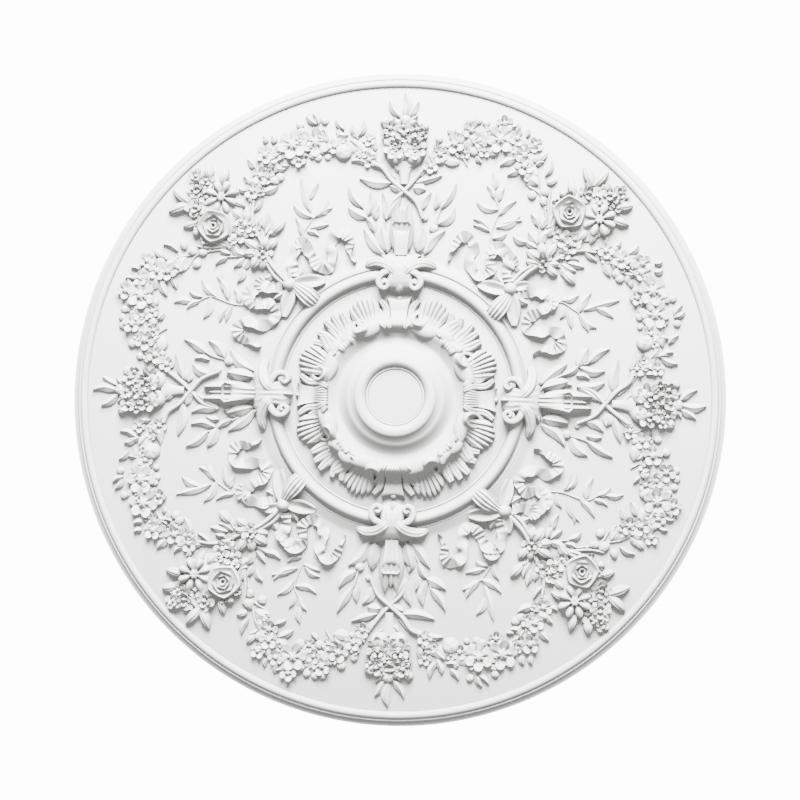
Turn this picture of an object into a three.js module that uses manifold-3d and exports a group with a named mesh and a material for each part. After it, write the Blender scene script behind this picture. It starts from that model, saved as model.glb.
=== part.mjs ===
// Ceiling rose: one round casting that is fixed flat against a ceiling, with its carved face down.
// It is drawn face up, in millimetres, and the whole rose is turned over at the end.
import * as THREE from 'three';
import { mergeVertices } from 'three/addons/utils/BufferGeometryUtils.js';
import Module from 'manifold-3d';

const wasm = await Module();
wasm.setup();

// Plate and rim
const ROSE_RADIUS = 475;
const PLATE_THICKNESS = 10;
const EDGE_WALL_HEIGHT = 3;
const RIM_COVE_WIDTH = 9.5;
const RIM_BEAD_WIDTH = 13;
const RIM_BEAD_HEIGHT = 5;

// Ring moulding around the centre
const RING_RADIUS = 178;
const RING_WIDTH = 17;
const RING_HEIGHT = 30;
const RING_FILLET_WIDTH = 6;
const RING_FILLET_HEIGHT = 18;
const RING_FOOT_WIDTH = 16;
const FIELD_HEIGHT = 16;

// Collar, boss and lamp seat
const COLLAR_FOOT_RADIUS = 126;
const COLLAR_LIP_RADIUS = 103;
const COLLAR_LIP_HEIGHT = 47;
const VALLEY_RADIUS = 86;
const VALLEY_HEIGHT = 36;
const BOSS_STEP_RADIUS = 70;
const BOSS_STEP_HEIGHT = 48;
const BOSS_LIP_RADIUS = 51;
const BOSS_LIP_HEIGHT = 62;
const SEAT_RADIUS = 38;
const SEAT_HEIGHT = 52;

// Relief above the ground that it grows from
const LEAF_HEIGHT = 6;
const STEM_WIDTH = 4;
const STEM_HEIGHT = 4;
const RIBBON_WIDTH = 13;
const RIBBON_HEIGHT = 7;
const ROSE_FLOWER_RADIUS = 25;
const ROSE_FLOWER_HEIGHT = 25;
const DAISY_RADIUS = 21;
const DAISY_HEIGHT = 21;
const CONE_HEIGHT = 22;
const POSY_HEIGHT = 18;
const CLASP_HEIGHT = 8;
const FAN_HEIGHT = 9;
const SINK = 1;

const ROUND_STEPS = 48;
const QUARTERS = 4;

// Radii that the mouldings share
const RIM_FOOT_RADIUS = ROSE_RADIUS - RIM_COVE_WIDTH - RIM_BEAD_WIDTH;
const RING_OUTSIDE = RING_RADIUS + RING_WIDTH / 2;
const RING_INSIDE = RING_RADIUS - RING_WIDTH / 2;
const RING_FOOT_RADIUS = RING_OUTSIDE + RING_FILLET_WIDTH + RING_FOOT_WIDTH;
const FIELD_RADIUS = RING_INSIDE - RING_FILLET_WIDTH;
const BED = PLATE_THICKNESS / 2;

// The face from the edge to the middle, as radius and height
const FACE = [
  [ROSE_RADIUS, EDGE_WALL_HEIGHT],
  [ROSE_RADIUS - RIM_COVE_WIDTH, PLATE_THICKNESS - 1.5],
  [RIM_FOOT_RADIUS + RIM_BEAD_WIDTH * 0.7, PLATE_THICKNESS + RIM_BEAD_HEIGHT * 0.9],
  [RIM_FOOT_RADIUS + RIM_BEAD_WIDTH * 0.35, PLATE_THICKNESS + RIM_BEAD_HEIGHT],
  [RIM_FOOT_RADIUS, PLATE_THICKNESS],
  [RING_FOOT_RADIUS, PLATE_THICKNESS],
  [RING_OUTSIDE + RING_FILLET_WIDTH, RING_FILLET_HEIGHT],
  [RING_OUTSIDE, RING_FILLET_HEIGHT - 1],
  [RING_RADIUS + RING_WIDTH * 0.3, RING_HEIGHT - 3],
  [RING_RADIUS, RING_HEIGHT],
  [RING_RADIUS - RING_WIDTH * 0.3, RING_HEIGHT - 3],
  [RING_INSIDE, RING_FILLET_HEIGHT],
  [FIELD_RADIUS, FIELD_HEIGHT],
  [COLLAR_FOOT_RADIUS, FIELD_HEIGHT],
  [COLLAR_LIP_RADIUS + 5, COLLAR_LIP_HEIGHT - 4],
  [COLLAR_LIP_RADIUS, COLLAR_LIP_HEIGHT],
  [VALLEY_RADIUS, VALLEY_HEIGHT],
  [BOSS_STEP_RADIUS, BOSS_STEP_HEIGHT],
  [BOSS_LIP_RADIUS + 11, BOSS_STEP_HEIGHT + 5],
  [BOSS_LIP_RADIUS + 3, BOSS_LIP_HEIGHT - 0.6],
  [BOSS_LIP_RADIUS - 3, BOSS_LIP_HEIGHT],
  [SEAT_RADIUS, SEAT_HEIGHT],
];

// The motifs are drawn on a sheet whose circles fall on these circles of the rose.
const SHEET_CIRCLES = [
  [0, 0],
  [103, COLLAR_LIP_RADIUS],
  [126, COLLAR_FOOT_RADIUS],
  [163.5, FIELD_RADIUS],
  [208.5, RING_FOOT_RADIUS],
  [452.5, RIM_FOOT_RADIUS],
];

function between(table, value) {
  const rising = table[0][0] < table[table.length - 1][0];
  const rows = rising ? table : [...table].reverse();
  const last = rows.length - 1;
  const found = rows.findIndex((row) => row[0] >= value);
  const upper = Math.max(1, found < 0 ? last : found);
  const [lowIn, lowOut] = rows[upper - 1];
  const [highIn, highOut] = rows[upper];
  const share = (value - lowIn) / (highIn - lowIn);
  return lowOut + share * (highOut - lowOut);
}

function ground(x, y) {
  const radius = Math.hypot(x, y);
  return radius < SEAT_RADIUS ? SEAT_HEIGHT : between(FACE, radius);
}

function fromSheet(x, y) {
  const radius = Math.hypot(x, y);
  const scale = radius > 0 ? between(SHEET_CIRCLES, radius) / radius : 1;
  return [x * scale, y * scale];
}

// Joins a geometry's doubled vertices, moves each with place and gives the closed solid.
function solid(geometry, place = (x, y, z) => [x, y, z]) {
  geometry.deleteAttribute('normal');
  geometry.deleteAttribute('uv');
  const joined = mergeVertices(geometry);
  const from = joined.attributes.position;
  const positions = new Float32Array(from.count * 3);
  for (let i = 0; i < from.count; i += 1) {
    positions.set(place(from.getX(i), from.getY(i), from.getZ(i)), i * 3);
  }
  const triangles = [];
  for (let i = 0; i < joined.index.count; i += 3) {
    const [a, b, c] = joined.index.array.slice(i, i + 3);
    if (a !== b && b !== c && c !== a) triangles.push(a, b, c);
  }
  const mesh = { numProp: 3, vertProperties: positions, triVerts: new Uint32Array(triangles) };
  return new wasm.Manifold(new wasm.Mesh(mesh));
}

// A block of cells whose top follows lay(s, t): a sheet point and a height above the ground there.
function block(cellsAcross, cellsAlong, lay) {
  const box = new THREE.BoxGeometry(1, 1, 1, cellsAcross, cellsAlong, 1);
  return solid(box, (bx, by, bz) => {
    const [sx, sy, lift] = lay(bx + 0.5, by + 0.5);
    const [x, y] = fromSheet(sx, sy);
    return [x, y, bz > 0 ? ground(x, y) + lift : BED];
  });
}

// A band along a line of sheet points: half(t) is half its width, lift(s, t) its height.
function band(points, cells, half, lift, cellsAcross = 2) {
  const line = new THREE.SplineCurve(points.map(([x, y]) => new THREE.Vector2(x, y)));
  return block(cellsAcross, cells, (s, t) => {
    const at = line.getPoint(t);
    const ahead = line.getTangent(t);
    const side = (2 * s - 1) * half(t);
    return [at.x + ahead.y * side, at.y - ahead.x * side, lift(s, t)];
  });
}

const ridge = (s) => 1 - Math.abs(2 * s - 1);

// A leaf is a low tent over four points: its base, its tip and its two sides.
function leaf([x0, y0, x1, y1, width], height = LEAF_HEIGHT) {
  const tent = [[0, 0], [1, 0], [1, 1], [0, 2]].map(([r, z]) => new THREE.Vector2(r, z));
  const dx = x1 - x0;
  const dy = y1 - y0;
  const across = width / 2 / Math.hypot(dx, dy);
  return solid(new THREE.LatheGeometry(tent, 4), (px, level, pz) => {
    const along = pz > 0 ? 0.42 + 0.58 * pz : 0.42 + 0.42 * pz;
    const side = px * across;
    const [x, y] = fromSheet(x0 + dx * along - dy * side, y0 + dy * along + dx * side);
    const lifts = [0, -SINK, height];
    return [x, y, level < 0.5 ? BED : ground(x, y) + lifts[Math.round(level)]];
  });
}

function stem(points, width = STEM_WIDTH, height = STEM_HEIGHT) {
  return band(points, points.length - 1, () => width / 2, (s) => height * ridge(s));
}

// A ribbon stands up on one edge and slopes down to the other.
function ribbon(points) {
  const cells = points.length - 1;
  const half = (t) => (RIBBON_WIDTH / 2) * (t > 0.95 ? 0.5 : 1);
  const standing = (s, t) => (Math.round(t * cells) % 4 < 2 ? s : 1 - s);
  return band(points, cells, half, (s, t) => RIBBON_HEIGHT * standing(s, t), 1);
}

// A round form on the ground: rings are shares of radius and height, petals notch its edge.
function round([sx, sy, radius], height, rings, petals, notch = 1) {
  const steps = notch < 1 ? petals * 2 : petals;
  const crown = rings.length > 0 ? rings[rings.length - 1][1] : 1;
  const outline = [[0, -1], [1, -1], [1, 0], ...rings, [0, crown]];
  const profile = outline.map(([share, rise]) => new THREE.Vector2(share, rise));
  const [x0, y0] = fromSheet(sx, sy);
  return solid(new THREE.LatheGeometry(profile, steps), (px, rise, pz) => {
    const spoke = Math.round((Math.atan2(pz, px) / (2 * Math.PI)) * steps);
    const scale = radius * (Math.abs(spoke) % 2 === 1 ? notch : 1);
    const x = x0 + px * scale;
    const y = y0 - pz * scale;
    const lift = rise > 0 ? rise * height : -SINK;
    return [x, y, rise < -0.5 ? BED : ground(x, y) + lift];
  });
}

const flower = (spot, height = spot[2]) => round(spot, height, [], 6);
const ball = (spot, height) => round(spot, height, [[0.6, 1]], 5);

// A shell of flutes that spreads from its root to a scalloped edge.
function fan([x0, y0], [x1, y1], rootWidth, tipWidth, flutes, height) {
  const lift = (s, t) => {
    const flute = 1 - Math.abs(((s * flutes) % 1) * 2 - 1);
    const rise = 1 - 0.45 * t;
    return height * rise * (0.6 + 0.4 * flute);
  };
  const dx = x1 - x0;
  const dy = y1 - y0;
  const length = Math.hypot(dx, dy);
  return block(flutes * 2, 1, (s, t) => {
    const spread = (2 * s - 1) * (rootWidth + (tipWidth - rootWidth) * t) / 2;
    const bow = 1 - 0.28 * t * (2 * s - 1) ** 2;
    const along = t * bow;
    return [x0 + dx * along + (dy / length) * spread, y0 + dy * along - (dx / length) * spread, lift(s, t)];
  });
}

// Motif on each axis: a clasp over the ring, a cone, two branches, crossed stems and a posy
function axisMotif() {
  const claspLine = [[0, 149], [0, 172], [0, 190], [0, 209]];
  const claspHalf = (t) => 16 + 13 * Math.cos(Math.PI * 2 * t) ** 2;
  const parts = [
    band(claspLine, 3, claspHalf, (s) => CLASP_HEIGHT * (0.6 + 0.4 * ridge(s))),
    leaf([-8, 174, -55, 189, 17], 14),
    leaf([8, 174, 56, 190, 17], 14),
    band([[0, 204], [0, 250], [0, 283]], 3, (t) => 12 + 7 * Math.sin(Math.PI * t) - 5 * t,
      (s) => CONE_HEIGHT * (0.55 + 0.45 * ridge(s))),
    stem([[-20, 206], [-34, 246], [-52, 274]]),
    stem([[20, 206], [42, 248], [54, 280]]),
    stem([[-30, 338], [-5, 307], [22, 277], [27, 258]], 8, 8),
    stem([[26, 339], [8, 312], [-6, 292], [-26, 262]], 8, 8),
    flower([44, 248, 7]),
    round([-2, 366, 30], POSY_HEIGHT, [[0.86, 0.7], [0.5, 1]], 8),
    band([[-2, 316], [-2, 342]], 1, (t) => 8 + 10 * t, (s) => 9 * (0.5 + 0.5 * ridge(s))),
    flower([-3, 406, 7]),
  ];
  const leaves = [
    [-27, 209, -59, 246, 15],
    [-50, 258, -83, 277, 13],
    [-58, 275, -81, 308, 13],
    [-50, 270, -49, 301, 12],
    [-31, 274, -31, 298, 11],
    [30, 212, 61, 246, 15],
    [48, 256, 75, 279, 14],
    [54, 280, 75, 311, 12],
    [32, 258, 31, 278, 11],
    [-18, 314, -67, 319, 13],
    [15, 314, 54, 327, 13],
    [-5, 410, -26, 434, 12],
    [-3, 412, -3, 443, 11],
    [-1, 410, 17, 433, 12],
  ];
  return parts.concat(leaves.map((row) => leaf(row)));
}

// Motif on each diagonal: a shell and a bow on the ring, tied stems, a rose, a daisy and two ribbons
function bouquet() {
  const petals = [[0.85, 0.7], [0.45, 1]];
  const parts = [
    fan([150, 150], [124, 124], 12, 34, 3, 14),
    ball([155, 152, 10], 20),
    leaf([152, 153, 114, 170, 19], 15),
    leaf([156, 150, 167, 114, 22], 17),
    stem([[158, 155], [200, 195], [236, 228]], 12, 9),
    flower([200, 195, 11], 14),
    round([240, 271, ROSE_FLOWER_RADIUS], ROSE_FLOWER_HEIGHT, petals, 8),
    round([284, 265, DAISY_RADIUS], DAISY_HEIGHT, [], 6, 0.72),
    flower([284, 265, 8], DAISY_HEIGHT),
    flower([233, 237, 17], 13),
    flower([242, 217, 11]),
    flower([268, 301, 13]),
    flower([296, 298, 11]),
    ribbon([[166, 150], [201, 161], [213, 148], [188, 120], [187, 108], [226, 104], [237, 91], [222, 76], [194, 65]]),
    ribbon([[151, 168], [159, 202], [130, 210], [127, 192], [96, 188], [99, 213], [88, 235], [75, 224], [67, 200]]),
  ];
  const leaves = [
    [265, 318, 257, 345, 16],
    [274, 315, 293, 337, 14],
    [305, 298, 318, 315, 13],
    [303, 288, 325, 284, 15],
    [300, 266, 325, 261, 12],
    [212, 236, 204, 262, 12],
    [172, 166, 158, 180, 11],
    [192, 188, 183, 205, 13],
    [190, 198, 162, 241, 10],
    [198, 232, 184, 272, 9],
    [205, 188, 226, 182, 11],
    [222, 200, 256, 174, 12],
    [228, 208, 266, 197, 10],
  ];
  return parts.concat(leaves.map((row) => leaf(row)));
}

// The two flower garlands that run from the axes to the diagonal
function garlands() {
  const stems = [
    [[214, 284], [196, 318]],
    [[240, 216], [290, 216]],
  ];
  const flowers = [
    [38, 341, 8], [56, 361, 10], [78, 374, 14], [100, 396, 14], [110, 372, 14], [138, 378, 18],
    [143, 403, 11], [163, 364, 14], [182, 378, 12], [179, 330, 16], [206, 308, 12],
    [296, 219, 13], [316, 203, 14], [350, 202, 15], [366, 165, 19], [370, 127, 20], [360, 88, 15],
    [348, 51, 15],
  ];
  const leaves = [
    [66, 352, 78, 338, 15],
    [158, 348, 136, 341, 12],
    [190, 340, 201, 362, 16],
    [190, 308, 184, 291, 13],
    [325, 206, 336, 226, 15],
    [318, 196, 305, 178, 13],
    [360, 192, 386, 190, 14],
    [336, 162, 338, 141, 17],
    [380, 132, 401, 138, 13],
    [376, 84, 397, 96, 15],
    [366, 74, 399, 62, 14],
  ];
  return stems.map((line) => stem(line)).concat(
    flowers.map((spot) => flower(spot)),
    leaves.map((row) => leaf(row)),
  );
}

// The thin laurel sprigs that stand free between the motifs
function sprigs() {
  const leaves = [
    [124, 250, 101, 264, 7],
    [137, 278, 105, 288, 9],
    [131, 294, 119, 313, 8],
    [130, 300, 128, 332, 9],
    [138, 270, 163, 292, 9],
    [134, 252, 170, 268, 9],
    [129, 236, 150, 244, 8],
    [230, 148, 257, 157, 8],
    [257, 132, 275, 161, 9],
    [264, 135, 316, 151, 9],
    [282, 139, 308, 125, 9],
    [258, 129, 284, 110, 9],
    [238, 140, 230, 122, 8],
  ];
  const stems = [
    [[127, 222], [128, 245], [138, 277], [130, 306]],
    [[214, 142], [232, 146], [258, 130], [264, 120]],
  ];
  return stems.map((line) => stem(line, 3, 3)).concat(leaves.map((row) => leaf(row, 5)));
}

// Acanthus collar: shell fans with curled roots, and a leaf on each axis and each diagonal
function collar() {
  const parts = [];
  for (const turn of [22, 68]) {
    const angle = THREE.MathUtils.degToRad(turn);
    const at = (radius) => [Math.sin(angle) * radius, Math.cos(angle) * radius];
    parts.push(fan(at(112), at(150), 16, 40, 3, FAN_HEIGHT));
    parts.push(flower([...at(112), 14], 10));
  }
  for (const turn of [0, 45]) {
    const angle = THREE.MathUtils.degToRad(turn);
    const at = (radius) => [Math.sin(angle) * radius, Math.cos(angle) * radius];
    const spread = turn === 0 ? 30 : 46;
    parts.push(fan(at(105), at(turn === 0 ? 146 : 140), 26, spread, 3, FAN_HEIGHT));
  }
  return parts;
}

function turned() {
  const outline = [[0, 0], [ROSE_RADIUS, 0], ...FACE, [0, SEAT_HEIGHT]];
  const profile = outline.map(([radius, height]) => new THREE.Vector2(radius, height));
  const lathe = new THREE.LatheGeometry(profile, ROUND_STEPS);
  return solid(lathe, (x, height, z) => [x, -z, height]);
}

function quarter() {
  return [...axisMotif(), ...bouquet(), ...garlands(), ...sprigs(), ...collar()];
}

const ornaments = wasm.Manifold.union(quarter());
const pieces = [turned()];
for (let i = 0; i < QUARTERS; i += 1) {
  pieces.push(ornaments.rotate([0, 0, (i * 360) / QUARTERS]));
}
const casting = wasm.Manifold.union(pieces).getMesh();

const geometry = new THREE.BufferGeometry();
geometry.setAttribute('position', new THREE.BufferAttribute(casting.vertProperties, 3));
geometry.setIndex(new THREE.BufferAttribute(casting.triVerts, 1));
geometry.computeVertexNormals();

const plaster = new THREE.MeshStandardMaterial({ color: 0xf1f1ef, roughness: 0.8, metalness: 0 });
const rose = new THREE.Mesh(geometry, plaster);
rose.name = 'ceiling_rose';

const hung = new THREE.Group();
hung.rotation.x = Math.PI;
hung.add(rose);

export default hung;
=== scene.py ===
import math

import bpy
import numpy as np
from mathutils import Matrix, Vector


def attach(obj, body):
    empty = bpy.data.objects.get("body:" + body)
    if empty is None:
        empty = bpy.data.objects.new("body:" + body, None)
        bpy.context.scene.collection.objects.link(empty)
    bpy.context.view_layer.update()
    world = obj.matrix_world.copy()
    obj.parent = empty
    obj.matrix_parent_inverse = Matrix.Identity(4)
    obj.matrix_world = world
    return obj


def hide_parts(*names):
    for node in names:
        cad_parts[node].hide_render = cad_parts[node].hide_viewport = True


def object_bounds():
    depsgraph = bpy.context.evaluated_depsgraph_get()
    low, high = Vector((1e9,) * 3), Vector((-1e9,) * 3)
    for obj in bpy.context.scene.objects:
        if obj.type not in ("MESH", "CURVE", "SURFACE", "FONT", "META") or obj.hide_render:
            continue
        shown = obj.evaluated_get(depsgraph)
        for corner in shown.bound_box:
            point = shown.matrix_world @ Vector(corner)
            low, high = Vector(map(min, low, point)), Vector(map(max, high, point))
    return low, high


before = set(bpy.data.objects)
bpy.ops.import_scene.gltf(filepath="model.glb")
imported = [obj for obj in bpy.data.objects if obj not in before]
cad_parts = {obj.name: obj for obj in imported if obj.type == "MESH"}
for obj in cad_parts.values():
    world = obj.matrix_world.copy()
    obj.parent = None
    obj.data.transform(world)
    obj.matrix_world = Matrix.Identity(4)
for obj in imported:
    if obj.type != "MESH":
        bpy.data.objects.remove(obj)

bl_info = {
    "name": "Ceiling rose",
    "version": (1, 0, 0),
    "blender": (4, 5, 0),
    "location": "View3D > Sidebar > Rose",
    "description": "Carved relief, finish and stage of a round ceiling rose",
    "category": "Object",
}

CAD_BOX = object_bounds()
BODY = "root"
NODE = "ceiling_rose"
QUARTERS = 4
ROSE_RADIUS = round(CAD_BOX[1][0], 4)
BOSS_HEIGHT = round(-CAD_BOX[0][2], 4)
BODY_STEPS = 240
SMOOTH_ANGLE = 42
SMOOTH_STEPS = 12


def length(name, text, value):
    """A size in metres that a user may change."""
    return bpy.props.FloatProperty(name=name, description=text, default=value, min=0.0, unit="LENGTH")


class RoseSizes(bpy.types.PropertyGroup):
    """Sizes of the turned mouldings, which are those of the solid."""

    rose_radius: length("Rose radius", "Middle to outer edge", ROSE_RADIUS)
    plate_thickness: length("Plate thickness", "Back to the flat face", 0.010)
    edge_wall: length("Edge wall", "Height of the upright edge", 0.003)
    rim_cove: length("Rim cove", "Width of the slope outside the bead", 0.0095)
    rim_bead: length("Rim bead", "Width of the bead inside the edge", 0.013)
    rim_bead_height: length("Rim bead height", "Bead above the plate", 0.005)
    ring_radius: length("Ring radius", "Middle to the ring's crest", 0.178)
    ring_width: length("Ring width", "Width of the ring's round moulding", 0.017)
    ring_height: length("Ring height", "Back to the ring's crest", 0.030)
    ring_fillet: length("Ring fillet", "Width of the small mouldings beside the ring", 0.006)
    ring_fillet_height: length("Ring fillet height", "Back to the small mouldings", 0.018)
    ring_foot: length("Ring foot", "Width of the slope down to the plate", 0.016)
    field_height: length("Field height", "Back to the field inside the ring", 0.016)
    collar_foot: length("Collar foot", "Middle to the collar's foot", 0.126)
    collar_lip: length("Collar lip", "Middle to the collar's lip", 0.103)
    collar_height: length("Collar height", "Back to the collar's lip", 0.047)
    valley_radius: length("Valley radius", "Middle to the bottom of the groove", 0.086)
    valley_height: length("Valley height", "Back to the bottom of the groove", 0.036)
    step_radius: length("Step radius", "Middle to the boss's step", 0.070)
    step_height: length("Step height", "Back to the boss's step", 0.048)
    boss_radius: length("Boss radius", "Middle to the boss's lip", 0.051)
    boss_height: length("Boss height", "Back to the boss's lip", BOSS_HEIGHT)
    seat_radius: length("Seat radius", "Middle to the edge of the lamp seat", 0.038)
    seat_height: length("Seat height", "Back to the lamp seat", 0.052)


class ReliefSizes(bpy.types.PropertyGroup):
    """Heights and widths of the carving."""

    leaf_height: length("Leaf height", "Leaves above the plate", 0.0085)
    stem_width: length("Stem width", "Width of the thin stems", 0.004)
    ribbon_width: length("Ribbon width", "Width of the flat ribbons", 0.017)
    ribbon_height: length("Ribbon height", "Ribbons above the plate", 0.013)
    rose_flower_height: length("Rose height", "Big roses above the plate", 0.025)
    daisy_height: length("Daisy height", "Daisies above the plate", 0.021)
    cone_height: length("Cone height", "Cones above the plate", 0.022)
    posy_height: length("Posy height", "Posies above the plate", 0.018)


class FinishSettings(bpy.types.PropertyGroup):
    """Colours of the matt white coat."""

    coat: bpy.props.FloatVectorProperty(
        name="Coat", description="Colour of the primer", subtype="COLOR", size=3,
        default=(0.82, 0.82, 0.815), min=0.0, max=1.0)
    mottle: bpy.props.FloatVectorProperty(
        name="Mottle", description="Darker colour of the coat's mottles", subtype="COLOR", size=3,
        default=(0.74, 0.74, 0.735), min=0.0, max=1.0)


def sizes():
    """Every size in millimetres, by name."""
    found = {}
    for group in (bpy.context.scene.rose_sizes, bpy.context.scene.rose_relief):
        for key in group.__class__.__annotations__:
            found[key] = getattr(group, key) * 1000.0
    return found


# Profile of the turned face


def smooth(points, steps):
    """Points on a smooth line through the given ones."""
    p = np.array(points, float)
    ends = np.vstack([2 * p[0] - p[1], p, 2 * p[-1] - p[-2]])
    out = []
    for i in range(len(p) - 1):
        a, b, c, d = ends[i:i + 4]
        for t in np.linspace(0, 1, steps, endpoint=False):
            out.append(0.5 * ((2 * b) + (c - a) * t + (2 * a - 5 * b + 4 * c - d) * t ** 2
                              + (3 * b - a - 3 * c + d) * t ** 3))
    return np.array(out + [p[-1]])


def arch(outer, inner, foot, rise, steps):
    """A half-round moulding from the outer radius to the inner one."""
    turn = np.linspace(0, math.pi, steps)
    middle, half = (outer + inner) / 2, (outer - inner) / 2
    return np.stack([middle + half * np.cos(turn), foot + rise * np.sin(turn)], 1)


def face_profile(z):
    """The face from the edge to the middle, as radius and height."""
    rim = z["rose_radius"] - z["rim_cove"] - z["rim_bead"]
    outside = z["ring_radius"] + z["ring_width"] / 2
    inside = z["ring_radius"] - z["ring_width"] / 2
    edge, plate, wall = z["rose_radius"], z["plate_thickness"], z["edge_wall"]
    fillet, top = z["ring_fillet"], z["ring_fillet_height"]
    lip, boss, seat = z["collar_lip"], z["boss_radius"], z["seat_radius"]
    high, step = z["boss_height"], z["step_height"]
    parts = [
        [[edge, wall]],
        smooth([[edge - 0.6, wall + 0.4], [edge - 3, wall + 1.4], [edge - 6, wall + 3.6],
                [edge - 8, plate - 1.2]], 3),
        [[edge - 8.4, plate + 0.2], [edge - 9.8, plate + 0.3], [edge - 10.6, plate - 0.6]],
        arch(rim + z["rim_bead"] - 1.6, rim + 0.6, plate - 0.4, z["rim_bead_height"] + 0.4, 11),
        [[rim - 0.4, plate]],
        smooth([[outside + fillet + z["ring_foot"], plate], [outside + fillet + 12, plate + 0.9],
                [outside + fillet + 6, plate + 4.0], [outside + fillet + 1, top - 1.2]], 4),
        arch(outside + fillet, outside + 1.8, top - 1.4, 1.6, 7),
        [[outside + 0.9, top - 2.0]],
        arch(outside, inside, top - 1.5, z["ring_height"] - top + 1.5, 19),
        [[inside - 0.8, top - 2.2]],
        arch(inside - 1.4, inside - 4.2, top - 2.0, 1.4, 6),
        [[inside - 4.8, z["field_height"] - 0.5], [inside - fillet, z["field_height"]]],
        smooth([[z["collar_foot"], z["field_height"]], [z["collar_foot"] - 7, z["field_height"] + 5],
                [lip + 10, z["collar_height"] - 13], [lip + 4, z["collar_height"] - 3],
                [lip, z["collar_height"]], [lip - 4, z["collar_height"] - 1.8],
                [lip - 9, z["collar_height"] - 5.8], [z["valley_radius"] + 1, z["valley_height"] + 0.4],
                [z["valley_radius"] - 3, z["valley_height"] + 0.2], [z["step_radius"] + 7, step - 7.6],
                [z["step_radius"], step], [z["step_radius"] - 4.5, step + 2.6],
                [boss + 12, step + 4.6], [boss + 9, step + 7.6], [boss + 5.5, high - 1.6],
                [boss, high], [boss - 3.6, high - 1.0], [boss - 7, high - 4.2],
                [seat + 4.6, z["seat_height"] + 2.4]], 4),
        arch(seat + 4.2, seat + 1.0, z["seat_height"] + 0.6, 1.5, 7),
        [[seat + 0.5, z["seat_height"] - 0.6], [seat, z["seat_height"]]],
    ]
    return np.vstack([np.array(part, float) for part in parts])


class Ground:
    """Heights of the turned face, which the carving stands on."""

    def __init__(self):
        self.sizes = sizes()
        face = face_profile(self.sizes)
        order = np.argsort(face[:, 0])
        self.radii, self.heights = face[order, 0], face[order, 1]
        self.bed = self.sizes["plate_thickness"] / 2

    def at(self, x, y):
        """The face's height over the back at a place of the drawing."""
        return np.interp(np.hypot(x, y), self.radii, self.heights)


# Start shapes, modelled once and copied

_starts = {}


def keep_start(key, obj):
    """Reads a start shape's mesh, removes the object, and keeps the arrays for copies."""
    mesh = obj.data
    co = np.empty(len(mesh.vertices) * 3, np.float64)
    mesh.vertices.foreach_get("co", co)
    loops = np.empty(len(mesh.loops), np.int64)
    mesh.loops.foreach_get("vertex_index", loops)
    totals = np.empty(len(mesh.polygons), np.int64)
    mesh.polygons.foreach_get("loop_total", totals)
    bpy.data.objects.remove(obj)
    _starts[key] = (co.reshape(-1, 3), loops, totals)
    return _starts[key]


def slab(across, along):
    """A closed slab of cells: a grid, extruded down."""
    key = ("slab", across, along)
    if key in _starts:
        return _starts[key]
    bpy.ops.object.select_all(action="DESELECT")
    bpy.ops.mesh.primitive_grid_add(x_subdivisions=across, y_subdivisions=along, size=1, location=(0, 0, 0))
    obj = bpy.context.object
    bpy.ops.object.mode_set(mode="EDIT")
    bpy.ops.mesh.select_all(action="SELECT")
    bpy.ops.mesh.extrude_region_move(TRANSFORM_OT_translate={"value": (0, 0, -1)})
    bpy.ops.mesh.select_all(action="SELECT")
    bpy.ops.mesh.normals_make_consistent(inside=False)
    bpy.ops.object.mode_set(mode="OBJECT")
    return keep_start(key, obj)


def spun(key, profile, steps):
    """A closed turned form: a line of points spun about the upright axis."""
    if key in _starts:
        return _starts[key]
    mesh = bpy.data.meshes.new("profile")
    points = [(r, 0, h) for r, h in profile]
    mesh.from_pydata(points, [(i, i + 1) for i in range(len(points) - 1)], [])
    obj = bpy.data.objects.new("profile", mesh)
    bpy.context.collection.objects.link(obj)
    bpy.ops.object.select_all(action="DESELECT")
    bpy.context.view_layer.objects.active = obj
    obj.select_set(True)
    bpy.ops.object.mode_set(mode="EDIT")
    bpy.ops.mesh.select_all(action="SELECT")
    bpy.ops.mesh.spin(steps=steps, angle=2 * math.pi, center=(0, 0, 0), axis=(0, 0, 1))
    bpy.ops.mesh.select_all(action="SELECT")
    bpy.ops.mesh.remove_doubles(threshold=0.00001)
    bpy.ops.mesh.normals_make_consistent(inside=False)
    bpy.ops.object.mode_set(mode="OBJECT")
    return keep_start(key, obj)


def wheel(rings, steps):
    """A closed disc of rings and spokes, one wide and one deep."""
    line = [(k / rings, 0) for k in range(rings + 1)] + [(1, -1), (0, -1)]
    return spun(("wheel", rings, steps), line, steps)


# Relief elements


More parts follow.
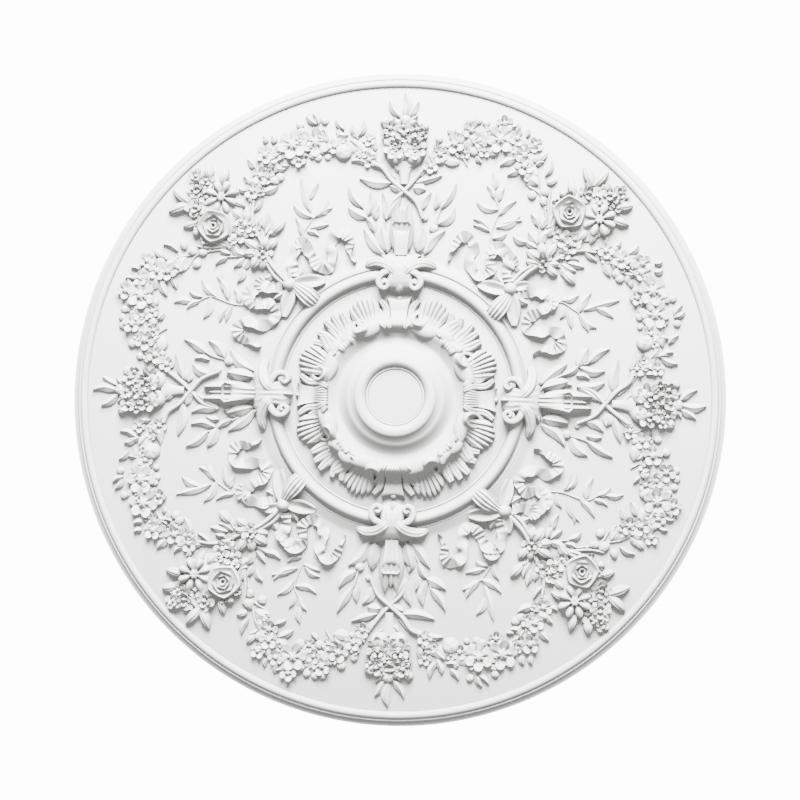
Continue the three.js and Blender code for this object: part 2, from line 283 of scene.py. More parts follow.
class Carver:
    """Collects the elements of one piece in the drawing's millimetres, face up."""

    def __init__(self, ground):
        self.ground = ground
        self.sizes = ground.sizes
        self.parts = []

    def add(self, start, x, y, top, lift, absolute=False):
        """Keeps a start shape laid on the ground, its lower side sunk in the plate."""
        base = 0 if absolute else self.ground.at(x, y)
        z = np.where(top, base + lift, self.ground.bed)
        self.parts.append((np.stack([x, y, z], 1), start[1], start[2]))

    def sheet(self, across, along, lay, absolute=False):
        """lay(s, t) gives x, y and height, with s from -1 to 1 across and t from 0 to 1 along."""
        start = slab(across, along)
        co = start[0]
        x, y, lift = lay(co[:, 0] * 2, co[:, 1] + 0.5)
        self.add(start, x, y, co[:, 2] > -0.5, lift, absolute)

    def strip(self, points, half, lift, across=8, along=16, absolute=False):
        """A band along a smooth line of points."""
        line = smooth(points, SMOOTH_STEPS)
        step = np.hypot(*np.diff(line, axis=0).T)
        share = np.concatenate([[0], np.cumsum(step)]) / step.sum()
        slope = np.gradient(line, share, axis=0)
        slope /= np.hypot(*slope.T)[:, None]

        def lay(s, t):
            px, py = np.interp(t, share, line[:, 0]), np.interp(t, share, line[:, 1])
            dx, dy = np.interp(t, share, slope[:, 0]), np.interp(t, share, slope[:, 1])
            side = s * half(t)
            return px + dy * side, py - dx * side, lift(s, t)

        self.sheet(across, along, lay, absolute)

    def disc(self, x0, y0, radius, lift, rings=8, steps=40, edge=None, absolute=False):
        """A round form: lift(rho, theta) is its height, edge(theta) shapes its outline."""
        start = wheel(rings, steps)
        co = start[0]
        rho = np.hypot(co[:, 0], co[:, 1])
        theta = np.arctan2(co[:, 1], co[:, 0])
        reach = radius * rho * (edge(theta) if edge else 1)
        x, y = x0 + reach * np.cos(theta), y0 + reach * np.sin(theta)
        self.add(start, x, y, co[:, 2] > -0.5, lift(rho, theta), absolute)

    def leaf(self, x0, y0, x1, y1, width, height=None, bend=None):
        """A pointed leaf with a rib, thick edges and a slight twist from base to tip."""
        height = height or self.sizes["leaf_height"]
        reach = math.hypot(x1 - x0, y1 - y0)
        phase = x0 * 12.9 + y0 * 7.8
        if bend is None:
            bend = 0.12 * math.sin(phase)
        nx, ny = -(y1 - y0) * bend, (x1 - x0) * bend
        points = [(x0, y0), ((x0 + x1) / 2 + nx, (y0 + y1) / 2 + ny), (x1, y1)]

        def half(t):
            return 0.4 + width * 0.54 * np.sin(math.pi * np.clip(t, 0, 1) ** 0.85) ** 0.7

        def lift(s, t):
            rise = height * (0.6 + 0.4 * np.sin(math.pi * (0.12 + 0.80 * t)))
            side = np.abs(s)
            body = 0.34 + 0.66 * (1 - side) ** 0.7 - 0.10 * np.sin(math.pi * side) * (t * (1 - t) * 4)
            twist = 0.13 * s * np.sin(math.pi * (1.5 * t - 0.1) + phase)
            return rise * (body + twist)

        self.strip(points, half, lift, 8, max(8, int(reach / 3.2)))

    def pod(self, x0, y0, x1, y1, width, height):
        """A full, pointed bud with two grooves between its sepals."""
        def half(t):
            return 0.5 + width / 2 * np.sin(math.pi * (0.12 + 0.84 * t)) ** 0.8

        def lift(s, t):
            round_ = np.sqrt(np.clip(1 - s ** 2, 0, 1))
            groove = 0.12 * (np.exp(-((s - 0.4) / 0.14) ** 2) + np.exp(-((s + 0.4) / 0.14) ** 2))
            return height * (0.12 + 0.88 * round_ - groove) * np.sin(math.pi * (0.16 + 0.74 * t)) ** 0.6

        self.strip([(x0, y0), ((x0 + x1) / 2, (y0 + y1) / 2), (x1, y1)], half, lift, 10, 10)

    def berry(self, x, y, radius, height=None):
        """A round bud cut into three by shallow grooves."""
        height = height or radius * 1.15
        turn = x * 1.7 + y * 0.9

        def lift(rho, theta):
            cut = (1 - np.abs(np.sin(1.5 * (theta - turn)))) ** 3
            groove = 0.20 * cut * np.sin(math.pi * np.clip(rho, 0, 0.9))
            return height * (0.20 + 0.80 * np.sqrt(np.clip(1 - rho ** 2, 0, 1)) - groove)

        self.disc(x, y, radius, lift, 6, 18)

    def blossom(self, x, y, radius, height=None, petals=5, rings=7, around=8):
        """A small open flower: cupped petals that rise outward round a domed eye."""
        height = height or radius * 1.1
        turn = math.sin(x * 3.1 + y * 1.7) * math.pi
        lean = math.cos(x * 1.3 - y * 2.3) * math.pi

        def wave(theta):
            return np.abs(np.cos(petals * (theta - turn) / 2))

        def edge(theta):
            return 0.50 + 0.50 * wave(theta) ** 0.5

        def lift(rho, theta):
            eye = 0.74 + 0.20 * np.cos(np.clip(rho / 0.3, 0, 1) * math.pi / 2)
            out = np.clip((rho - 0.28) / 0.72, 0, 1)
            petal = 0.42 + 0.46 * out ** 1.1 - 0.08 * wave(theta) ** 6 * out
            petal -= 0.50 * (1 - wave(theta)) ** 1.8 * np.clip(rho * 1.5, 0, 1)
            return height * np.where(rho < 0.3, eye, petal) * (1 + 0.22 * rho * np.cos(theta - lean))

        self.disc(x, y, radius * 1.15, lift, rings, petals * around, edge)

    def double_blossom(self, x, y, radius, height, petals=6):
        """A bigger flower of two rows of petals."""
        self.blossom(x, y, radius, height * 0.85, petals, 9, 10)
        self.blossom(x, y, radius * 0.6, height * 1.25, petals - 1, 7, 8)

    def fill(self, points, wide, count, high, start=0.0):
        """Small leaves, buds and flowers that close the gaps along a garland."""
        line = smooth(points, SMOOTH_STEPS)
        share = np.linspace(0, 1, len(line))
        leaf_reach = 13
        for i in range(count):
            t = (i + 0.5) / count
            x, y = np.interp(t, share, line[:, 0]), np.interp(t, share, line[:, 1])
            x1, y1 = np.interp(t + 0.02, share, line[:, 0]), np.interp(t + 0.02, share, line[:, 1])
            x0, y0 = np.interp(t - 0.02, share, line[:, 0]), np.interp(t - 0.02, share, line[:, 1])
            reach = math.hypot(x1 - x0, y1 - y0)
            dx, dy = (x1 - x0) / reach, (y1 - y0) / reach
            off = math.sin(i * 2.4 + start)
            side = 1 if off > 0 else -1
            px, py = x + dy * off * wide, y - dx * off * wide
            if i % 3 == 0:
                lean = 0.5 + 0.4 * math.sin(i * 1.7 + start)
                tip_x = px + leaf_reach * (side * dy + dx * lean)
                tip_y = py + leaf_reach * (dy * lean - side * dx)
                self.leaf(px, py, tip_x, tip_y, 8, high)
            elif i % 3 == 1:
                self.berry(px, py, 5.2 + math.sin(i * 3.3), high * 1.1)
            else:
                self.blossom(px, py, 7 + math.sin(i * 2.1), high * 1.25, 5, 5, 6)

    def mound(self, points, half, height):
        """A low bed that carries the flowers of a garland."""
        def lift(s, t):
            return height * (0.2 + 0.8 * np.sqrt(np.clip(1 - s ** 2, 0, 1)))

        self.strip(points, half, lift, 8, 40)

    def stem(self, points, width=None, height=4.0):
        """A thin round stem."""
        width = width or self.sizes["stem_width"]

        def lift(s, t):
            return height * (0.1 + 0.9 * np.sqrt(np.clip(1 - s ** 2, 0, 1)))

        self.strip(points, lambda t: width / 2 * (1 - 0.25 * t), lift, 6, 8 * (len(points) - 1))

    def make(self, name, turn):
        """Turns the piece about the middle, hangs it face down and makes it an object."""
        turned = math.radians(-90 * turn)
        c, s = math.cos(turned), math.sin(turned)
        co, loops, totals, first = [], [], [], 0
        for verts, part_loops, part_totals in self.parts:
            x, y = verts[:, 0] * c - verts[:, 1] * s, verts[:, 0] * s + verts[:, 1] * c
            co.append(np.stack([x, -y, -verts[:, 2]], 1) / 1000.0)
            loops.append(part_loops + first)
            totals.append(part_totals)
            first += len(verts)
        return mesh_object(name, np.vstack(co), np.concatenate(loops), np.concatenate(totals))


def mesh_object(name, co, loops, totals):
    """A mesh object at the origin that rides on the casting's body."""
    mesh = bpy.data.meshes.new(name)
    mesh.vertices.add(len(co))
    mesh.vertices.foreach_set("co", co.ravel())
    mesh.loops.add(len(loops))
    mesh.loops.foreach_set("vertex_index", loops)
    mesh.polygons.add(len(totals))
    mesh.polygons.foreach_set("loop_start", np.concatenate([[0], np.cumsum(totals)[:-1]]))
    mesh.polygons.foreach_set("loop_total", totals)
    mesh.update(calc_edges=True)
    mesh.validate()
    obj = bpy.data.objects.new(name, mesh)
    bpy.context.collection.objects.link(obj)
    bpy.ops.object.select_all(action="DESELECT")
    bpy.context.view_layer.objects.active = obj
    obj.select_set(True)
    bpy.ops.object.shade_smooth_by_angle(angle=math.radians(SMOOTH_ANGLE))
    obj.data.materials.append(white_finish())
    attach(obj, BODY)
    return obj


# Finish


def coat_group():
    """Node group: a matt coat that is a little darker in fine mottles, with a very fine grain."""
    found = bpy.data.node_groups.get("matt_coat")
    if found:
        return found
    group = bpy.data.node_groups.new("matt_coat", "ShaderNodeTree")
    face = group.interface
    face.new_socket("Coat", in_out="INPUT", socket_type="NodeSocketColor")
    face.new_socket("Mottle", in_out="INPUT", socket_type="NodeSocketColor")
    scale = face.new_socket("Mottle scale", in_out="INPUT", socket_type="NodeSocketFloat")
    scale.default_value = 9.0
    grain = face.new_socket("Grain scale", in_out="INPUT", socket_type="NodeSocketFloat")
    grain.default_value = 900.0
    face.new_socket("Color", in_out="OUTPUT", socket_type="NodeSocketColor")
    face.new_socket("Roughness", in_out="OUTPUT", socket_type="NodeSocketFloat")
    face.new_socket("Height", in_out="OUTPUT", socket_type="NodeSocketFloat")
    nodes, links = group.nodes, group.links
    inp, out = nodes.new("NodeGroupInput"), nodes.new("NodeGroupOutput")
    place = nodes.new("ShaderNodeTexCoord")
    mottle = nodes.new("ShaderNodeTexNoise")
    mottle.inputs["Detail"].default_value = 4.0
    links.new(place.outputs["Object"], mottle.inputs["Vector"])
    links.new(inp.outputs["Mottle scale"], mottle.inputs["Scale"])
    share = nodes.new("ShaderNodeMapRange")
    share.inputs["From Min"].default_value = 0.35
    share.inputs["From Max"].default_value = 0.75
    share.inputs["To Max"].default_value = 0.22
    links.new(mottle.outputs["Fac"], share.inputs["Value"])
    mix = nodes.new("ShaderNodeMix")
    mix.data_type = "RGBA"
    links.new(share.outputs["Result"], mix.inputs["Factor"])
    links.new(inp.outputs["Coat"], mix.inputs[6])
    links.new(inp.outputs["Mottle"], mix.inputs[7])
    links.new(mix.outputs[2], out.inputs["Color"])
    fine = nodes.new("ShaderNodeTexNoise")
    fine.inputs["Detail"].default_value = 2.0
    links.new(place.outputs["Object"], fine.inputs["Vector"])
    links.new(inp.outputs["Grain scale"], fine.inputs["Scale"])
    rough = nodes.new("ShaderNodeMapRange")
    rough.inputs["To Min"].default_value = 0.72
    rough.inputs["To Max"].default_value = 0.86
    links.new(mottle.outputs["Fac"], rough.inputs["Value"])
    links.new(rough.outputs["Result"], out.inputs["Roughness"])
    links.new(fine.outputs["Fac"], out.inputs["Height"])
    return group


def white_finish():
    """The one material of the casting."""
    found = bpy.data.materials.get("white_casting")
    if found:
        return found
    mat = bpy.data.materials.new("white_casting")
    mat.use_nodes = True
    nodes, links = mat.node_tree.nodes, mat.node_tree.links
    shader = nodes["Principled BSDF"]
    shader.inputs["Metallic"].default_value = 0.0
    shader.inputs["Specular IOR Level"].default_value = 0.35
    coat = nodes.new("ShaderNodeGroup")
    coat.node_tree = coat_group()
    finish = bpy.context.scene.rose_finish
    coat.inputs["Coat"].default_value = (*finish.coat, 1)
    coat.inputs["Mottle"].default_value = (*finish.mottle, 1)
    bump = nodes.new("ShaderNodeBump")
    bump.inputs["Strength"].default_value = 0.05
    bump.inputs["Distance"].default_value = 0.0002
    links.new(coat.outputs["Color"], shader.inputs["Base Color"])
    links.new(coat.outputs["Roughness"], shader.inputs["Roughness"])
    links.new(coat.outputs["Height"], bump.inputs["Height"])
    links.new(bump.outputs["Normal"], shader.inputs["Normal"])
    return mat


# Operators


class ROSE_OT_mouldings(bpy.types.Operator):
    """Turn the plate, the rim, the ring, the collar's slope and the boss with its lamp seat."""

    bl_idname = "rose.mouldings"
    bl_label = "Plate and mouldings"

    def execute(self, context):
        z = sizes()
        face = face_profile(z)
        line = [(0, 0), (z["rose_radius"], 0), *map(tuple, face), (0, z["seat_height"])]
        co, loops, totals = spun(("body",), line, BODY_STEPS)
        hung = np.stack([co[:, 0], -co[:, 1], -co[:, 2]], 1) / 1000.0
        obj = mesh_object("plate_and_mouldings", hung, loops, totals)
        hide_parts(NODE)
        return {"FINISHED"}


class ROSE_OT_axis_motifs(bpy.types.Operator):
    """Carve the clasp, cone, branches, crossed stems and posy on each of the four axes."""

    bl_idname = "rose.axis_motifs"
    bl_label = "Axis motifs"

    def execute(self, context):
        k = Carver(Ground())
        self.clasp(k)
        self.cone(k)
        self.branches(k)
        self.posy(k)
        for turn in range(QUARTERS):
            k.make(f"axis_motif_{turn + 1}", turn)
        return {"FINISHED"}

    @staticmethod
    def clasp(k):
        """The scrolled clasp over the ring, with two wings and two volutes."""
        crest = k.sizes["ring_height"]

        def body(s, t):
            v = 151 + 57 * t
            over = np.interp(v, [151, 154, 159, 166, 176, 186, 196, 204, 208],
                             [crest - 11, crest - 3, crest + 5, crest + 9, crest + 11, crest + 10,
                              crest + 5, crest - 2, crest - 9])
            flutes = 0.9 * np.cos(5 * math.pi * s) * np.clip(1.3 - np.abs(2 * t - 1), 0, 1)
            return over - 6 * np.abs(s) ** 3 + flutes

        def half(t):
            return np.interp(t, [0, 0.08, 0.22, 0.40, 0.60, 0.78, 0.93, 1], [10, 16, 20, 17, 16, 20, 25, 20])

        def wing_half(t):
            return np.interp(t, [0, 0.15, 0.5, 0.8, 0.93, 1], [3, 7, 7.5, 6.5, 5, 1])

        def wing(s, t):
            line = np.interp(t, [0, 0.25, 0.6, 0.85, 1],
                             [crest + 10, crest + 13, crest + 4, crest - 3, crest - 10])
            return line + 5.0 * np.sqrt(np.clip(1 - s ** 2, 0, 1)) - 5 + 0.6 * np.cos(3 * math.pi * s)

        def volute_half(t):
            return np.interp(t, [0, 0.2, 0.7, 1], [3, 4.6, 3.4, 2.2])

        def volute(s, t):
            line = crest + np.interp(t, [0, 0.2, 0.6, 1], [9, 11, 11, 13])
            return line + 3.0 * np.sqrt(np.clip(1 - s ** 2, 0, 1)) - 3.0

        def volute_bed(rho, theta):
            return crest + 7.5 - 2.0 * rho ** 2

        k.strip([(0, 151), (0, 180), (0, 208)], half, body, 26, 26, absolute=True)
        k.leaf(0, 168, 0, 150, 20, 24, 0)
        for side in (-1, 1):
            k.strip([(side * 4, 176), (side * 12, 186), (side * 24, 193), (side * 38, 195),
                     (side * 52, 190)],
                    wing_half, wing, 14, 26, absolute=True)
            k.disc(side * 23, 163, 8.5, volute_bed, 5, 24, absolute=True)
            k.strip([(side * 11, 182), (side * 23, 179), (side * 30, 171), (side * 29, 161),
                     (side * 22, 156.5), (side * 16.5, 161), (side * 20, 166), (side * 24, 164)],
                    volute_half, volute, 10, 40, absolute=True)
            k.leaf(side * 8, 190, side * 29, 207, 13, 15)
        k.leaf(0, 192, 0, 214, 13, 18, 0)

    @staticmethod
    def cone(k):
        """The cone of tall leaves, with a scooped leaf in front."""
        high = k.sizes["cone_height"]
        for row, share in (((-20, 210, -30, 247, 17), 0.6), ((24, 211, 30, 249, 17), 0.6),
                           ((0, 225, 0, 274, 15), 0.7), ((-9, 212, -9, 282, 16), 0.85),
                           ((9, 212, 8, 282, 16), 0.85)):
            k.leaf(*row, height=high * share, bend=0)
        k.strip([(0, 206), (0, 230), (0, 254)],
                lambda t: np.interp(t, [0, 0.3, 0.7, 0.9, 1], [9, 9, 12, 14.5, 10]),
                lambda s, t: high * (0.84 + 0.22 * s ** 2 * t + 0.07 * np.cos(3 * math.pi * s) * (1 - t)
                                     - 0.52 * np.exp(-((t - 0.84) / 0.12) ** 2) * (1 - s ** 2)), 16, 22)

    @staticmethod
    def branches(k):
        """Two leafy branches beside the cone, and the crossed stems above it."""
        for row in ((-24, 206, -56, 245, 14), (-51, 260, -80, 275, 14), (-39, 239, -54, 262, 9),
                    (-57, 274, -80, 306, 11), (-51, 263, -47, 300, 11), (-39, 258, -35, 278, 9),
                    (-27, 223, -25, 253, 12), (-25, 261, -30, 300, 12), (-24, 260, -3, 293, 12),
                    (33, 209, 63, 245, 14), (51, 253, 76, 278, 14), (55, 276, 77, 314, 11),
                    (47, 275, 49, 298, 9), (27, 228, 27, 250, 12), (26, 273, 41, 300, 13),
                    (14, 305, 33, 303, 15), (-17, 312, -65, 318, 13), (18, 313, 56, 325, 10),
                    (-20, 308, -1, 296, 11)):
            k.leaf(*row)
        k.berry(46, 247, 7)
        k.berry(33, 262, 5)
        k.stem([(-12, 204), (-28, 217), (-40, 239), (-53, 261), (-58, 276)])
        k.stem([(19, 207), (33, 217), (46, 245), (52, 268), (58, 283)])
        k.stem([(-46, 340), (-31, 334), (-17, 316), (1, 301), (19, 285), (30, 261)], 9, 10)
        k.stem([(32, 340), (12, 313), (-2, 298), (-17, 282), (-24, 260)], 8, 8)

    @staticmethod
    def posy(k):
        """The posy: a flared calyx, two lobed cups and a bunch of small flowers."""
        high = k.sizes["posy_height"]
        k.strip([(1, 311), (1, 327), (1, 344)], lambda t: 6 + 9 * t ** 2,
                lambda s, t: 9 * (0.45 + 0.55 * np.sqrt(np.clip(1 - s ** 2, 0, 1))), 10, 8)
        for row in ((1, 328, -14, 339, 7), (1, 328, 17, 339, 7),
                    (-7, 393, -18, 409, 7), (6, 397, 18, 411, 7)):
            k.leaf(*row, height=9)
        for side in (-1, 1):
            k.berry(side * 13 + 1, 352, 14.5, high * 0.95)
            k.blossom(side * 14.5 + 1, 363, 16, high * 1.15, 7, 9, 8)
            k.blossom(side * 14.5 + 1, 366, 8, high * 1.4)
        k.disc(1, 376, 25, lambda rho, theta: high * 0.5 * (1 - 0.5 * rho ** 2), 6, 30)
        for x, y, r in ((-1, 383, 11), (-21, 391, 10), (18, 390, 10), (-14, 381, 8), (12, 378, 8),
                        (-2, 394, 9), (26, 384, 7), (-26, 379, 7), (1, 369, 7)):
            k.blossom(x, y, r, high * (0.78 + 0.025 * r))
        for x, y, r in ((-30, 401, 7), (28, 395, 7), (0, 404, 9), (-11, 400, 6), (11, 400, 6)):
            k.berry(x, y, r, 12)
        for row in ((-7, 408, -24, 433, 10), (-1, 409, -1, 446, 12), (6, 409, 19, 432, 10)):
            k.leaf(*row)


class ROSE_OT_bouquets(bpy.types.Operator):
    """Carve the shell, bow, tied stems, rose, daisy and ribbons on each of the four diagonals."""

    bl_idname = "rose.bouquets"
    bl_label = "Diagonal bouquets"

    def execute(self, context):
        k = Carver(Ground())
        self.bow(k)
        self.rose(k, 242, 274, 25)
        self.daisy(k, 285, 265, 24)
        self.flowers(k)
        self.tie(k)
        self.ribbons(k)
        for turn in range(QUARTERS):
            k.make(f"bouquet_{turn + 1}", turn)
        return {"FINISHED"}

    @staticmethod
    def bow(k):
        """The fluted shell on the ring and the bow's three loops round its ball."""
        crest = k.sizes["ring_height"]

        def shell_half(t):
            return 3.5 + 8.5 * np.sin(math.pi * (0.08 + 0.66 * t))

        def shell(s, t):
            line = np.interp(t, [0, 0.3, 0.65, 0.88, 1],
                             [crest - 2, crest + 6, crest + 9, crest + 5, crest - 3])
            return line + 2.0 * np.cos(4 * math.pi * s) * (0.5 + 0.5 * t) - 5.0 * s ** 2

        def ball(rho, theta):
            return 24 * (0.2 + 0.8 * np.sqrt(np.clip(1 - rho ** 2, 0, 1)))

        def loop(points, wide, high):
            def lift(s, t):
                rim = 0.46 + 0.54 * np.abs(s) ** 1.3 * np.sin(math.pi * (0.05 + 0.9 * t)) + 0.3 * (1 - t)
                return high * (rim - 0.5 * np.abs(s) ** 10)
            k.strip(points, lambda t: 1.5 + wide * np.sin(math.pi * (0.08 + 0.84 * t)) ** 0.7, lift, 14, 18)

        k.strip([(158, 153), (147, 137), (132, 118)], shell_half, shell, 30, 20, absolute=True)
        loop([(158, 157), (133, 163), (113, 167)], 9, 17)
        loop([(161, 157), (165, 130), (167, 109)], 9.5, 18)
        loop([(163, 162), (176, 166), (190, 168)], 6, 14)
        k.leaf(150, 166, 138, 184, 12, 12)
        k.leaf(170, 152, 186, 141, 12, 12)
        k.disc(159.5, 161, 10.5, ball, 8, 28)

    @staticmethod
    def rose(k, cx, cy, radius):
        """The big rose: rows of petals as share of radius, height, notch and turn."""
        high = k.sizes["rose_flower_height"]
        rows = [(0, 0.62, 0, 0), (0.07, 0.60, 0, 0), (0.13, 0.96, 0.10, 0.0), (0.19, 1.00, 0.10, 0.0),
                (0.23, 0.72, 0.12, 0.6), (0.34, 0.88, 0.14, 0.6), (0.40, 0.98, 0.14, 0.6),
                (0.44, 0.66, 0.14, 1.3), (0.56, 0.78, 0.14, 1.3), (0.64, 0.90, 0.13, 1.3),
                (0.68, 0.54, 0.12, 2.1), (0.82, 0.62, 0.12, 2.1), (0.93, 0.76, 0.11, 2.1),
                (0.99, 0.66, 0.10, 2.1), (1.01, 0.40, 0.09, 2.1), (1.0, 0.0, 0.09, 2.1)]
        share = np.linspace(0, 1, len(rows))
        table = np.array(rows)

        def petal(rho, theta):
            height = np.interp(rho, share, table[:, 1])
            return high * height * (1 + 0.10 * np.cos(theta - 9 * rho) * np.clip(2 * rho, 0, 1))

        start = wheel(len(rows) - 1, 60)
        co = start[0]
        rho, theta = np.hypot(co[:, 0], co[:, 1]), np.arctan2(co[:, 1], co[:, 0])
        turn = np.interp(rho, share, table[:, 3])
        notch = np.interp(rho, share, table[:, 2]) * np.abs(np.sin(2.5 * (theta + turn)))
        reach = radius * np.interp(rho, share, table[:, 0]) * (1 - notch)
        x, y = cx + reach * np.cos(theta), cy + reach * np.sin(theta)
        k.add(start, x, y, co[:, 2] > -0.5, petal(rho, theta))

    @staticmethod
    def daisy(k, cx, cy, radius):
        """The daisy: eight rays round a dimpled eye."""
        tall = k.sizes["daisy_height"]

        def rays(theta):
            return np.abs(np.cos(4 * (theta - 0.4)))

        def face(rho, theta):
            eye = 0.86 + 0.16 * np.cos(rho / 0.3 * math.pi / 2) - 0.12 * np.exp(-(rho / 0.1) ** 2)
            out = np.clip((rho - 0.3) / 0.7, 0, 1)
            ray = 0.56 + 0.30 * np.sin(math.pi * (0.1 + 0.75 * out)) - 0.50 * (1 - rays(theta)) ** 1.3
            return tall * np.where(rho < 0.3, eye, ray) * (1 + 0.16 * rho * np.cos(theta + 0.9))

        k.disc(cx, cy, radius, face, 12, 80, lambda theta: 0.60 + 0.40 * rays(theta) ** 0.5)

    @staticmethod
    def flowers(k):
        """The bunch round the rose and the daisy, on a low bed."""
        k.disc(264, 270, 36, lambda rho, theta: 10 * (1 - 0.6 * rho ** 2), 5, 30)
        k.fill([(222, 258), (226, 290), (244, 302)], 5, 6, 12, 1.0)
        k.double_blossom(270, 303, 14, 17, 5)
        k.double_blossom(299, 302, 14, 17, 5)
        k.double_blossom(315, 304, 11, 14, 5)
        k.double_blossom(309, 289, 11, 14, 5)
        for x, y, r, h in ((284, 309, 9, 12), (232, 237, 12, 15), (246, 228, 12, 15), (226, 245, 8, 13),
                           (238, 216, 9, 13), (251, 236, 9, 14), (284, 288, 9, 15)):
            k.blossom(x, y, r, h)
        for x, y, r, h in ((206, 305, 8, 9), (204, 292, 6, 8), (185, 301, 5, 7), (262, 242, 7, 12)):
            k.berry(x, y, r, h)
        for row in ((274, 314, 262, 343, 15, 15), (276, 314, 296, 337, 15, 15), (313, 284, 333, 287, 14, 14),
                    (305, 266, 328, 259, 13, 14), (299, 258, 293, 241, 12, 13), (283, 251, 273, 231, 11, 12),
                    (268, 250, 254, 233, 12, 13), (248, 300, 241, 321, 12, 12)):
            k.pod(*row)

    @staticmethod
    def tie(k):
        """The tie between the bow and the bunch: a knot flower, sprays and twisted stems."""
        k.double_blossom(205, 201, 13, 19, 6)
        for row in ((201, 206, 182, 218, 17, 17), (205, 210, 203, 230, 15, 16), (210, 208, 224, 230, 14, 15),
                    (199, 200, 181, 203, 14, 14), (212, 193, 227, 183, 13, 14), (236, 188, 253, 172, 14, 13),
                    (213, 200, 229, 199, 11, 13)):
            k.pod(*row)
        for row in ((197, 222, 179, 232, 10), (184, 230, 161, 239, 10), (197, 228, 183, 245, 9),
                    (201, 226, 214, 249, 11), (216, 254, 223, 277, 9), (197, 254, 186, 272, 9),
                    (203, 250, 209, 266, 8), (240, 202, 266, 196, 10), (232, 200, 254, 190, 10),
                    (243, 208, 258, 206, 8), (204, 240, 220, 256, 11), (221, 259, 209, 252, 9),
                    (232, 196, 243, 180, 9), (196, 192, 180, 184, 11), (176, 186, 168, 200, 10)):
            k.leaf(*row)
        k.stem([(162, 163), (176, 178), (190, 190), (204, 198)], 10, 14)
        k.stem([(158, 166), (172, 184), (188, 195), (202, 204)], 8, 11)
        k.stem([(206, 202), (217, 203), (231, 210), (246, 217), (262, 220), (282, 218)], 7, 8)
        k.stem([(214, 200), (228, 197), (242, 190), (250, 178)], 5, 6)
        k.stem([(203, 231), (213, 251), (211, 284), (214, 305)], 5, 6)
        k.stem([(201, 221), (199, 246), (198, 265)], 3, 4)

    @staticmethod
    def ribbons(k):
        """The two pleated ribbons that wave away from the bow, and their turned folds."""
        wide, high = k.sizes["ribbon_width"], k.sizes["ribbon_height"]
        twists = 5

        def half(t):
            fold = 0.84 + 0.16 * np.cos(4 * math.pi * twists * t)
            tail = np.interp(t, [0, 0.86, 0.93, 0.97, 1], [1, 1, 0.35, 0.5, 0.15])
            return wide / 2 * fold * tail

        def lift(s, t):
            lean = 0.36 * s * np.cos(2 * math.pi * twists * t + 0.5)
            pleat = 0.12 * np.cos(2 * math.pi * (18 * t + 1.2 * np.sin(15 * t)))
            swell = 0.10 * np.sin(4 * math.pi * twists * t)
            return high * (0.72 + lean + pleat + swell)

        for line in ([(155, 172), (154, 190), (161, 204), (149, 214), (135, 217), (129, 206), (131, 190),
                      (117, 180), (104, 187), (99, 203), (105, 220), (98, 234), (85, 234), (76, 221),
                      (69, 200)],
                     [(166, 154), (176, 154), (187, 158), (200, 158), (213, 152), (213, 139), (201, 129),
                      (187, 120), (184, 109), (193, 101), (206, 101), (220, 103), (234, 96), (236, 84),
                      (226, 75), (213, 76), (195, 66)]):
            k.strip(line, half, lift, 8, 220)
        for line in ([(125, 214), (141, 222), (158, 216)], [(148, 204), (160, 205), (169, 198)],
                     [(216, 155), (222, 145), (217, 132)]):
            k.strip(line, lambda t: 2 + 6 * np.sin(math.pi * (0.15 + 0.8 * t)),
                    lambda s, t: high * (0.75 + 0.38 * s * np.cos(5 * t) + 0.08 * np.cos(30 * t)), 8, 24)


